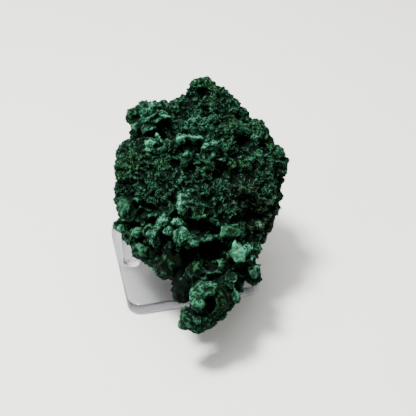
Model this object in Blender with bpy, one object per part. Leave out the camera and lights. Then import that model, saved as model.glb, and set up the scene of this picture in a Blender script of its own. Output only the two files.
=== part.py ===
"""A malachite specimen resting on a clear acrylic three-peg mineral stand.

Metres, +Z up. The origin is the centre of the base plate's underside, which stands on the table.
+X and +Y run along two sides of the square plate, and the specimen's long lower tip points to -Y.
"""

import math

import bmesh
import bpy
from mathutils import Matrix, Vector, noise

MM = 0.001

# Stand: a square plate of 5 mm sheet and three round pegs of 8 mm rod, set in blind holes.
PLATE_SIDE = 55 * MM
PLATE_THICKNESS = 5 * MM
PLATE_CORNER_RADIUS = 6 * MM
PLATE_CORNER_STEPS = 10
PLATE_EDGE_ROUNDING = 0.7 * MM
PEG_DIAMETER = 8 * MM
PEG_CIRCLE_RADIUS = 21.5 * MM
PEG_RISE = 22 * MM
PEG_HOLE_DEPTH = 3 * MM
PEG_TIP_ROUNDING = 0.8 * MM
PEG_SIDES = 40
SMOOTH_ANGLE = math.radians(40)
PEG_ANGLES_DEG = {"peg_left": 180, "peg_front": 300, "peg_back": 60}
FIT_GAP = 0.3 * MM

# Specimen: the lumps that grew into one another. Each line is a lump's name, its centre and its
# three half-widths, in millimetres.
LUMPS = (
    # The solid heart of the specimen, with its broad face sloping to the front.
    ("heart_upper", (11, 1, 51), (24, 22, 20)),
    ("heart_lower", (5, -13, 44), (22, 20, 15)),
    ("heart_left", (-8, -1, 50), (17, 17, 15)),
    ("heart_right", (21, -9, 46), (16, 19, 15)),
    ("heart_back", (12, 17, 46), (20, 16, 18)),
    # The crest and its slopes.
    ("crest", (12, 8, 62), (13, 13, 13)),
    ("crest_knob", (13, 15, 73), (5, 4, 5)),
    ("crest_right", (18, 11, 68), (8, 7, 7)),
    ("crest_left", (5, 11, 66), (7, 7, 7)),
    ("crest_slope", (22, 5, 63), (8, 8, 8)),
    ("left_shoulder", (-8, 10, 63), (9, 9, 9)),
    ("left_corner", (-12, 14, 66), (5, 5, 5)),
    ("right_slope", (28, -1, 58), (8, 9, 8)),
    ("right_corner", (33, -11, 53), (6, 7, 7)),
    ("right_bulge", (27, -19, 41), (8, 9, 9)),
    ("right_foot", (20, -27, 35), (8, 8, 7)),
    # The left flank, whose foot sits on the left peg.
    ("left_flank", (-18, -2, 51), (7, 8, 8)),
    ("left_flank_low", (-18, -2, 39), (8, 9, 9)),
    ("left_spur_upper", (-23, -1, 50), (3, 3, 2)),
    ("left_spur_lower", (-24, -4, 46), (3, 3, 2)),
    ("left_bulb", (-21, -10, 42), (5, 5, 5)),
    ("left_low_face", (-15, -13, 38), (8, 8, 7)),
    ("left_foot", (-20, -1, 33), (5, 6, 6)),
    ("left_foot_tip", (-24, -9, 31), (4, 4, 4)),
    ("left_foot_front", (-21, -16, 32), (5, 6, 5)),
    ("left_foot_inner", (-17, -23, 29), (5, 5, 5)),
    ("left_fan", (-13, -24, 36), (6, 6, 6)),
    # Smooth round nodules under the front.
    ("front_nodule", (-10, -31, 31), (8, 8, 8)),
    ("front_nodule_low", (-8, -43, 27), (5, 5, 6)),
    # Lumps across the middle of the front.
    ("brow_left", (-7, -32, 42), (5, 5, 5)),
    ("brow_middle", (-1, -34, 42), (6, 6, 5)),
    ("brow_right", (10, -34, 40), (7, 6, 6)),
    ("belly", (2, -27, 37), (12, 11, 10)),
    # The long lower tip that hangs out in front of the plate.
    ("beard_root", (0, -39, 32), (6, 6, 6)),
    ("beard_top", (7, -44, 30), (7, 7, 7)),
    ("beard_fan", (-2, -50, 29), (6, 6, 6)),
    ("beard_side", (15, -43, 30), (5, 6, 5)),
    ("beard_upper_side", (16, -38, 34), (5, 5, 5)),
    ("beard_low_side", (7, -50, 26), (6, 5, 5)),
    ("tip_left", (-8, -56, 22), (5, 5, 4)),
    ("tip_right", (-3, -55, 22), (6, 6, 5)),
    # The underside, where it meets the front and back pegs, and the back.
    ("front_seat", (11, -19, 34), (9, 9, 7)),
    ("back_seat", (11, 19, 35), (10, 10, 8)),
    ("back_low", (22, 12, 38), (11, 12, 11)),
    ("back_left", (-8, 16, 46), (11, 10, 12)),
    ("back_bulge", (16, 29, 48), (9, 7, 9)),
    ("back_right", (30, 6, 48), (8, 9, 9)),
)
LUMP_STEPS = 3
JOIN_VOXEL = 1.3 * MM
JOIN_SMOOTH_PASSES = 2
KNUCKLE_SIZE = 6.0 * MM
KNUCKLE_HEIGHT = 1.9 * MM
KNUCKLE_MEAN = 0.6
GRAIN_SIZE = 2.6 * MM
GRAIN_HEIGHT = 0.5 * MM
SPECIMEN_FACES = 6400
SEAT_FLAT_RADIUS = PEG_DIAMETER / 2 + 1.0 * MM
SEAT_DEPTH = 6 * MM

PEG_TOP = PLATE_THICKNESS + PEG_RISE


def material(name, rgb, roughness, metallic, transmission=0.0):
    """A Principled material with one finish all over."""
    mat = bpy.data.materials.new(name)
    mat.use_nodes = True
    shader = mat.node_tree.nodes["Principled BSDF"]
    shader.inputs["Base Color"].default_value = (*rgb, 1.0)
    shader.inputs["Roughness"].default_value = roughness
    shader.inputs["Metallic"].default_value = metallic
    shader.inputs["Transmission Weight"].default_value = transmission
    return mat


def add_object(name, mesh, mat):
    """Put a mesh in the scene under its own name, with one material."""
    obj = bpy.data.objects.new(name, mesh)
    bpy.context.scene.collection.objects.link(obj)
    mesh.materials.append(mat)
    return obj


def baked(obj):
    """The object's mesh with its modifiers applied, as a new mesh."""
    depsgraph = bpy.context.evaluated_depsgraph_get()
    return bpy.data.meshes.new_from_object(obj.evaluated_get(depsgraph))


def rounded_square(side, corner_radius, steps):
    """Points round a square with round corners, anticlockwise from the right side."""
    reach = side / 2 - corner_radius
    points = []
    for corner, (sx, sy) in enumerate(((1, 1), (-1, 1), (-1, -1), (1, -1))):
        for step in range(steps + 1):
            angle = math.radians(90 * (corner + step / steps))
            x = sx * reach + corner_radius * math.cos(angle)
            y = sy * reach + corner_radius * math.sin(angle)
            points.append((x, y))
    return points


def peg_centre(angle_deg):
    """Where a peg stands on the plate."""
    angle = math.radians(angle_deg)
    return Vector((PEG_CIRCLE_RADIUS * math.cos(angle), PEG_CIRCLE_RADIUS * math.sin(angle), 0))


def round_rod(radius, bottom, top, sides):
    """A closed upright rod as a bmesh."""
    bm = bmesh.new()
    bmesh.ops.create_cone(
        bm, cap_ends=True, segments=sides, radius1=radius, radius2=radius, depth=top - bottom
    )
    bmesh.ops.translate(bm, verts=bm.verts, vec=(0, 0, (top + bottom) / 2))
    return bm


def to_mesh(bm, name):
    """Write a bmesh to a new mesh with its faces pointing out."""
    bmesh.ops.recalc_face_normals(bm, faces=bm.faces)
    mesh = bpy.data.meshes.new(name)
    bm.to_mesh(mesh)
    bm.free()
    return mesh


def make_base_plate(acrylic):
    """The square plate, with its edges eased and a blind hole for each peg."""
    bm = bmesh.new()
    outline = rounded_square(PLATE_SIDE, PLATE_CORNER_RADIUS, PLATE_CORNER_STEPS)
    face = bm.faces.new([bm.verts.new((x, y, 0)) for x, y in outline])
    raised = bmesh.ops.extrude_face_region(bm, geom=[face])
    top_verts = [v for v in raised["geom"] if isinstance(v, bmesh.types.BMVert)]
    bmesh.ops.translate(bm, verts=top_verts, vec=(0, 0, PLATE_THICKNESS))
    rims = [e for e in bm.edges if abs(e.verts[0].co.z - e.verts[1].co.z) < PLATE_THICKNESS / 2]
    bmesh.ops.bevel(
        bm, geom=rims, offset=PLATE_EDGE_ROUNDING, segments=2, profile=0.5, affect="EDGES"
    )
    plate = add_object("base_plate", to_mesh(bm, "base_plate"), acrylic)
    for name, angle in PEG_ANGLES_DEG.items():
        hole = round_rod(
            PEG_DIAMETER / 2 + FIT_GAP,
            PLATE_THICKNESS - PEG_HOLE_DEPTH,
            PLATE_THICKNESS + PEG_HOLE_DEPTH,
            PEG_SIDES,
        )
        cutter = add_object("hole_for_" + name, to_mesh(hole, "hole_for_" + name), acrylic)
        cutter.location = peg_centre(angle)
        cutter.hide_render = True
        cutter.display_type = "WIRE"
        cut = plate.modifiers.new("Hole for " + name, "BOOLEAN")
        cut.operation = "DIFFERENCE"
        cut.solver = "EXACT"
        cut.object = cutter
    return plate


def make_peg(name, angle_deg, acrylic):
    """One round peg with an eased tip, standing in its blind hole."""
    foot = PLATE_THICKNESS - PEG_HOLE_DEPTH + FIT_GAP
    bm = round_rod(PEG_DIAMETER / 2, foot, PEG_TOP, PEG_SIDES)
    tip = [e for e in bm.edges if all(v.co.z > PEG_TOP - FIT_GAP for v in e.verts)]
    bmesh.ops.bevel(
        bm, geom=tip, offset=PEG_TIP_ROUNDING, segments=3, profile=0.5, affect="EDGES"
    )
    peg = add_object(name, to_mesh(bm, name), acrylic)
    peg.location = peg_centre(angle_deg)
    peg.data.shade_smooth()
    peg.data.set_sharp_from_angle(angle=SMOOTH_ANGLE)
    return peg


def joined_lumps():
    """Every lump of the specimen, fused into one closed skin by a voxel remesh."""
    bm = bmesh.new()
    for _, centre, half_widths in LUMPS:
        place = Matrix.Translation(Vector(centre) * MM)
        stretch = Matrix.Diagonal((*(Vector(half_widths) * MM), 1.0))
        bmesh.ops.create_icosphere(bm, subdivisions=LUMP_STEPS, radius=1.0, matrix=place @ stretch)
    lumps = bpy.data.objects.new("lumps", to_mesh(bm, "lumps"))
    bpy.context.scene.collection.objects.link(lumps)
    fuse = lumps.modifiers.new("Fuse", "REMESH")
    fuse.mode = "VOXEL"
    fuse.voxel_size = JOIN_VOXEL
    ease = lumps.modifiers.new("Ease", "SMOOTH")
    ease.factor = 0.5
    ease.iterations = JOIN_SMOOTH_PASSES
    skin = baked(lumps)
    bpy.data.objects.remove(lumps)
    return skin


def knuckle(point, size):
    """Height of a round-headed bump at a point: 1 at its middle and 0 in the grooves."""
    nearest = noise.voronoi(point / size)[0][0]
    return 1.0 - min(nearest, 1.0) ** 2


def roughen(mesh):
    """Raise the knuckled crust on the specimen's skin."""
    normals = [v.normal.copy() for v in mesh.vertices]
    for vert, normal in zip(mesh.vertices, normals, strict=True):
        rise = KNUCKLE_HEIGHT * (knuckle(vert.co, KNUCKLE_SIZE) - KNUCKLE_MEAN)
        rise += GRAIN_HEIGHT * noise.noise(vert.co / GRAIN_SIZE)
        vert.co += normal * rise


def seat_on_pegs(mesh):
    """Lift the underside to rest just above each peg's tip."""
    seat = PEG_TOP + FIT_GAP
    for angle in PEG_ANGLES_DEG.values():
        centre = peg_centre(angle)
        for vert in mesh.vertices:
            off_axis = (vert.co.xy - centre.xy).length
            if off_axis < SEAT_FLAT_RADIUS and seat - SEAT_DEPTH < vert.co.z < seat:
                vert.co.z = seat


def make_specimen(green):
    """The whole specimen: one stone."""
    skin = joined_lumps()
    roughen(skin)
    rough = bpy.data.objects.new("rough", skin)
    bpy.context.scene.collection.objects.link(rough)
    thin = rough.modifiers.new("Thin", "DECIMATE")
    thin.ratio = SPECIMEN_FACES / sum(len(p.vertices) - 2 for p in skin.polygons)
    thin.use_collapse_triangulate = True
    mesh = baked(rough)
    bpy.data.objects.remove(rough)
    seat_on_pegs(mesh)
    mesh.name = "malachite"
    return add_object("malachite", mesh, green)


for old in list(bpy.data.objects):
    bpy.data.objects.remove(old)

malachite_green = material("malachite_green", (0.012, 0.040, 0.022), 0.6, 0.0)
clear_acrylic = material("clear_acrylic", (0.95, 0.96, 0.98), 0.03, 0.0, transmission=1.0)

make_base_plate(clear_acrylic)
for peg_name, peg_angle in PEG_ANGLES_DEG.items():
    make_peg(peg_name, peg_angle, clear_acrylic)
make_specimen(malachite_green)
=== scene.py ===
"""A malachite specimen on a clear acrylic three-peg stand: its finished surfaces, in metres.

The sections follow the object as it is put together: the table and light it stands in, the
acrylic stand, the stone, and the small crystals that cover the stone.
"""

import math
import random

import bmesh
import bpy
import numpy as np
from mathutils import Matrix, Vector, noise


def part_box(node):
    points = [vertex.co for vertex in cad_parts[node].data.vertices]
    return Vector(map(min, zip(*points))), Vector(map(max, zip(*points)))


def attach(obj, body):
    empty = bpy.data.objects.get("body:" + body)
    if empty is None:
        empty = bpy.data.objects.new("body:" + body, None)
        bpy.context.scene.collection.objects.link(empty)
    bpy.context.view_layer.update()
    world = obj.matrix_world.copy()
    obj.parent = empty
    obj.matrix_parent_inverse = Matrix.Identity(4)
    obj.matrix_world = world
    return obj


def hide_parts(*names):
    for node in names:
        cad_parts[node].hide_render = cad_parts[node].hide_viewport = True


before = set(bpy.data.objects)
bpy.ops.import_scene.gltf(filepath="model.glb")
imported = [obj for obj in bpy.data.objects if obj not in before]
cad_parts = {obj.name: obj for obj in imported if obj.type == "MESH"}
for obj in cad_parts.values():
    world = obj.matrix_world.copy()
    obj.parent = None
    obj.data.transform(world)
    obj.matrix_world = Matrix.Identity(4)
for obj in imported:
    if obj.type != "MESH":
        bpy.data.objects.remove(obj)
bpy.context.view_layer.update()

# ---------------------------------------------------------------------------------------------
# Table, light and camera. A white matt table top that sweeps up behind, a broad ceiling light
# and a smaller lamp overhead, a faint light from the left, and a room that is white above and
# dim at the horizon.
# ---------------------------------------------------------------------------------------------
MM = 0.001
CAMERA_PLACE = Vector((-0.0490, -0.2484, 0.2255))
CAMERA_TARGET = Vector((0.0193, 0.0336, 0.0))
CAMERA_LENS_MM = 68.0
TABLE_HALF_WIDTH = 1.2
TABLE_FRONT = -1.0
TABLE_BACK = 0.42
TABLE_GAP = 0.15 * MM
SWEEP_RADIUS = 0.25
SWEEP_HEIGHT = 1.2
TABLE_CLOUD = 0.22
SWEEP_STEPS = 24
TABLE_WHITE = "#CBCAC5"
TABLE_SHADE = "#C7C6C1"
TABLE_ROUGHNESS = 0.6
ROOM_LOW = "#B3B1B6"
ROOM_HIGH = "#F4F6F8"
ROOM_STRENGTH = 0.5
# The room is dim up to this height of a line of sight, and white from this height on.
ROOM_DIM_TO = 0.1
ROOM_WHITE_FROM = 0.8
# Each light: its name, its place, the height over the table that it faces, its size and watts.
LIGHTS = (
    ("ceiling_light", (0.0, -0.05, 0.9), 0.03, 0.8, 10),
    ("lamp_light", (-0.27, -0.02, 0.9), 0.03, 0.2, 34),
    ("window_light", (-0.8, -0.3, 0.7), 0.04, 0.5, 3),
)


def linear(hex_colour, alpha=1.0):
    """An sRGB hex colour as the linear values that the shaders take."""
    channels = [int(hex_colour[i : i + 2], 16) / 255 for i in (1, 3, 5)]
    low = [c / 12.92 for c in channels]
    high = [((c + 0.055) / 1.055) ** 2.4 for c in channels]
    return (*[a if c <= 0.04045 else b for a, b, c in zip(low, high, channels)], alpha)


def add(tree, kind, values=None, **settings):
    """Add a node: settings are its own properties, values its inputs, given or linked."""
    made = tree.nodes.new(kind)
    for name, value in settings.items():
        setattr(made, name, value)
    for socket, value in (values or {}).items():
        if isinstance(value, bpy.types.NodeSocket):
            tree.links.new(value, made.inputs[socket])
        else:
            made.inputs[socket].default_value = value
    return made


def new_material(name):
    """A material with an empty tree, and that tree."""
    made = bpy.data.materials.new(name)
    made.use_nodes = True
    made.node_tree.nodes.clear()
    return made, made.node_tree


def surface(tree, shader):
    """Link a shader to the material's surface."""
    add(tree, "ShaderNodeOutputMaterial", {"Surface": shader.outputs[0]})


def put(name, mesh, material):
    """A mesh in the scene under its own name, with its material."""
    made = bpy.data.objects.new(name, mesh)
    bpy.context.scene.collection.objects.link(made)
    mesh.materials.clear()
    mesh.materials.append(material)
    return made


# White laminate with a matt finish: an even pale surface that shines nowhere, with clouds so
# faint and broad that it still looks plain.
table_white, tree = new_material("matt_white_laminate")
place = add(tree, "ShaderNodeTexCoord").outputs["Object"]
clouds = add(
    tree, "ShaderNodeTexNoise", {"Vector": place, "Scale": 1 / TABLE_CLOUD, "Detail": 3.0}
)
shade = add(
    tree,
    "ShaderNodeMix",
    {"Factor": clouds.outputs["Fac"], "A": linear(TABLE_SHADE), "B": linear(TABLE_WHITE)},
    data_type="RGBA",
)
surface(
    tree,
    add(
        tree,
        "ShaderNodeBsdfPrincipled",
        {"Base Color": shade.outputs["Result"], "Roughness": TABLE_ROUGHNESS},
    ),
)

profile = [(TABLE_FRONT, -TABLE_GAP), (TABLE_BACK, -TABLE_GAP)]
for step in range(1, SWEEP_STEPS + 1):
    angle = math.radians(90 * step / SWEEP_STEPS)
    rise = SWEEP_RADIUS * (1 - math.cos(angle))
    profile.append((TABLE_BACK + SWEEP_RADIUS * math.sin(angle), rise))
profile.append((TABLE_BACK + SWEEP_RADIUS, SWEEP_HEIGHT))
sheet = bmesh.new()
rows = [
    [sheet.verts.new((x, y, z)) for x in (-TABLE_HALF_WIDTH, TABLE_HALF_WIDTH)] for y, z in profile
]
for (a, b), (c, d) in zip(rows, rows[1:]):
    sheet.faces.new((a, b, d, c))
table_mesh = bpy.data.meshes.new("table")
sheet.to_mesh(table_mesh)
sheet.free()
table_mesh.shade_smooth()
put("table", table_mesh, table_white)

# The room is white above and dim at the horizon, which draws the edges of clear acrylic.
room = bpy.data.worlds.new("white_room")
room.use_nodes = True
room.node_tree.nodes.clear()
way = add(room.node_tree, "ShaderNodeTexCoord").outputs["Generated"]
height = add(room.node_tree, "ShaderNodeSeparateXYZ", {"Vector": way}).outputs["Z"]
climb = add(
    room.node_tree,
    "ShaderNodeMapRange",
    {"Value": height, "From Min": ROOM_DIM_TO, "From Max": ROOM_WHITE_FROM},
    interpolation_type="SMOOTHSTEP",
)
shade = add(
    room.node_tree,
    "ShaderNodeMix",
    {"Factor": climb.outputs["Result"], "A": linear(ROOM_LOW), "B": linear(ROOM_HIGH)},
    data_type="RGBA",
)
glow = add(
    room.node_tree,
    "ShaderNodeBackground",
    {"Color": shade.outputs["Result"], "Strength": ROOM_STRENGTH},
)
add(room.node_tree, "ShaderNodeOutputWorld", {"Surface": glow.outputs[0]})
bpy.context.scene.world = room


def aim(name, data, place, target):
    """A light or camera at a place, facing its target."""
    made = bpy.data.objects.new(name, data)
    made.location = place
    made.rotation_euler = (Vector(target) - Vector(place)).to_track_quat("-Z", "Y").to_euler()
    bpy.context.scene.collection.objects.link(made)
    return made


for light_name, place, faces_height, size, watts in LIGHTS:
    lamp = bpy.data.lights.new(light_name, "AREA")
    lamp.shape = "SQUARE"
    lamp.size = size
    lamp.energy = watts
    aim(light_name, lamp, place, (0, 0, faces_height))

camera = aim("camera", bpy.data.cameras.new("camera"), CAMERA_PLACE, CAMERA_TARGET)
camera.data.lens = CAMERA_LENS_MM
bpy.context.scene.camera = camera

# ---------------------------------------------------------------------------------------------
# The stand. A square sawn from clear cast acrylic sheet with its edges eased, and three pegs of
# clear acrylic rod with rounded tips, each standing in a shallow socket drilled in the sheet.
# ---------------------------------------------------------------------------------------------
PLATE_CORNER_RADIUS = 6.0 * MM
PLATE_CORNER_STEPS = 12
PLATE_POLISH = 0.9 * MM
PEG_TIP_ROUND = 1.0 * MM
SOCKET_GAP = 0.15 * MM
SOCKET_DEPTH = 0.8 * MM
SOCKET_MOUTH = 1.0 * MM
ROUND_STEPS = 5
PEG_SIDES = 56
ACRYLIC_CLEAR = "#FBFCFF"
ACRYLIC_ROUGHNESS = 0.04
SCUFFED_ROUGHNESS = 0.25
SCUFFED_BELOW = 0.7 * MM
ACRYLIC_IOR = 1.49
# The colour that acrylic lets through, and how many times a metre of it dims the rest.
ACRYLIC_TINT = "#66607C"
ACRYLIC_ABSORPTION = 18.0
SHARP_ANGLE = math.radians(35)

plate_low, plate_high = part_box("base_plate")
plate_side = plate_high.x - plate_low.x
plate_top = plate_high.z


def rounded_square(side, corner_radius, steps):
    """Points round a square with round corners."""
    reach = side / 2 - corner_radius
    points = []
    for corner, (sx, sy) in enumerate(((1, 1), (-1, 1), (-1, -1), (1, -1))):
        for step in range(steps + 1):
            angle = math.radians(90 * (corner + step / steps))
            x = sx * reach + corner_radius * math.cos(angle)
            points.append((x, sy * reach + corner_radius * math.sin(angle)))
    return points


def lofted(rings, name):
    """A closed solid from rings of equally many points, capped at both ends."""
    bm = bmesh.new()
    loops = [[bm.verts.new(p) for p in ring] for ring in rings]
    for lower, upper in zip(loops, loops[1:]):
        for i, vert in enumerate(lower):
            j = (i + 1) % len(lower)
            bm.faces.new((vert, lower[j], upper[j], upper[i]))
    bm.faces.new(loops[0][::-1])
    bm.faces.new(loops[-1])
    bmesh.ops.recalc_face_normals(bm, faces=bm.faces)
    mesh = bpy.data.meshes.new(name)
    bm.to_mesh(mesh)
    bm.free()
    return mesh


def plate_rings():
    """The plate's outline at each level, drawn in where its edges are polished round."""
    levels = []
    for step in range(ROUND_STEPS + 1):
        angle = math.radians(90 * step / ROUND_STEPS)
        inset = PLATE_POLISH * (1 - math.sin(angle))
        levels.append((PLATE_POLISH * (1 - math.cos(angle)), inset))
    levels += [(plate_top - z, inset) for z, inset in reversed(levels)]
    rings = []
    for z, inset in levels:
        outline = rounded_square(
            plate_side - 2 * inset, PLATE_CORNER_RADIUS - inset, PLATE_CORNER_STEPS
        )
        rings.append([(x, y, z) for x, y in outline])
    return rings


def circle(centre, radius, z):
    """Points round a circle at one level."""
    turns = [2 * math.pi * i / PEG_SIDES for i in range(PEG_SIDES)]
    return [(centre.x + radius * math.cos(t), centre.y + radius * math.sin(t), z) for t in turns]


def peg_rings(low, high):
    """The peg's circle at each level, from its flat foot to its rounded tip."""
    centre = (low + high) / 2
    radius = (high.x - low.x) / 2
    rings = [circle(centre, radius, plate_top - SOCKET_DEPTH)]
    for step in range(ROUND_STEPS + 1):
        angle = math.radians(90 * step / ROUND_STEPS)
        drop = PEG_TIP_ROUND * (1 - math.sin(angle))
        eased = PEG_TIP_ROUND * (1 - math.cos(angle))
        rings.append(circle(centre, radius - eased, high.z - drop))
    return rings


def socket_rings(low, high):
    """The hole that a peg stands in, from its floor to past the plate's top."""
    centre = (low + high) / 2
    radius = (high.x - low.x) / 2 + SOCKET_GAP
    foot = plate_top - SOCKET_DEPTH - SOCKET_GAP
    return [circle(centre, radius, z) for z in (foot, plate_top + SOCKET_MOUTH)]


# Cast acrylic, polished above and sawn, drilled and scuffed below the plate's top: the plate is
# clear from above, and its edges are a soft lavender grey, as light goes a long way in them.
acrylic, tree = new_material("clear_cast_acrylic")
scuffed = add(tree, "ShaderNodeAttribute", attribute_name="scuffed").outputs["Fac"]
roughness = add(
    tree,
    "ShaderNodeMapRange",
    {"Value": scuffed, "To Min": ACRYLIC_ROUGHNESS, "To Max": SCUFFED_ROUGHNESS},
)
clear = add(
    tree,
    "ShaderNodeBsdfPrincipled",
    {
        "Base Color": linear(ACRYLIC_CLEAR),
        "Roughness": roughness.outputs["Result"],
        "IOR": ACRYLIC_IOR,
        "Transmission Weight": 1.0,
    },
)
dimming = add(
    tree,
    "ShaderNodeVolumeAbsorption",
    {"Color": linear(ACRYLIC_TINT), "Density": ACRYLIC_ABSORPTION},
)
add(
    tree,
    "ShaderNodeOutputMaterial",
    {"Surface": clear.outputs[0], "Volume": dimming.outputs[0]},
)


def applied(obj):
    """The object's mesh with its modifiers applied, as a new mesh."""
    depsgraph = bpy.context.evaluated_depsgraph_get()
    return bpy.data.meshes.new_from_object(obj.evaluated_get(depsgraph))


def bake_modifiers(obj):
    """Apply every modifier to the object's own mesh."""
    mesh = applied(obj)
    obj.modifiers.clear()
    obj.data = mesh
    return obj


def finished(obj):
    """Smooth an acrylic piece, and mark what lies below the plate's top as scuffed."""
    scuffs = obj.data.attributes.new("scuffed", "FLOAT", "FACE")
    for face in obj.data.polygons:
        scuffs.data[face.index].value = face.center.z < plate_top - SCUFFED_BELOW
    obj.data.shade_smooth()
    obj.data.set_sharp_from_angle(angle=SHARP_ANGLE)
    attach(obj, "root")


plate = put("acrylic_plate", lofted(plate_rings(), "acrylic_plate"), acrylic)
drills = []
for node in sorted(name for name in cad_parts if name.startswith("peg")):
    peg = put("acrylic_" + node, lofted(peg_rings(*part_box(node)), "acrylic_" + node), acrylic)
    finished(peg)
    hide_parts(node)
    drills.append(put(node + "_drill", lofted(socket_rings(*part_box(node)), node), acrylic))
    socket = plate.modifiers.new(node, "BOOLEAN")
    socket.operation = "DIFFERENCE"
    socket.solver = "EXACT"
    socket.object = drills[-1]
bake_modifiers(plate)
for drill in drills:
    bpy.data.objects.remove(drill)
finished(plate)
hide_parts("base_plate")

# ---------------------------------------------------------------------------------------------
# The stone. One lump of malachite, grown layer on layer: a craggy crust over its broad face,
# smooth rounded knobs below it, and pale mint folds where its fibres end in the light.
# ---------------------------------------------------------------------------------------------
STONE_VOXEL = 0.515 * MM
EASE_PASSES = 1
EASE_FACTOR = 0.5
MERGE_DISTANCE = 0.001 * MM

# The broad face leans back and turns a little to the left, in degrees.
FACE_LEAN = -38
FACE_TURN = -14
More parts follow.
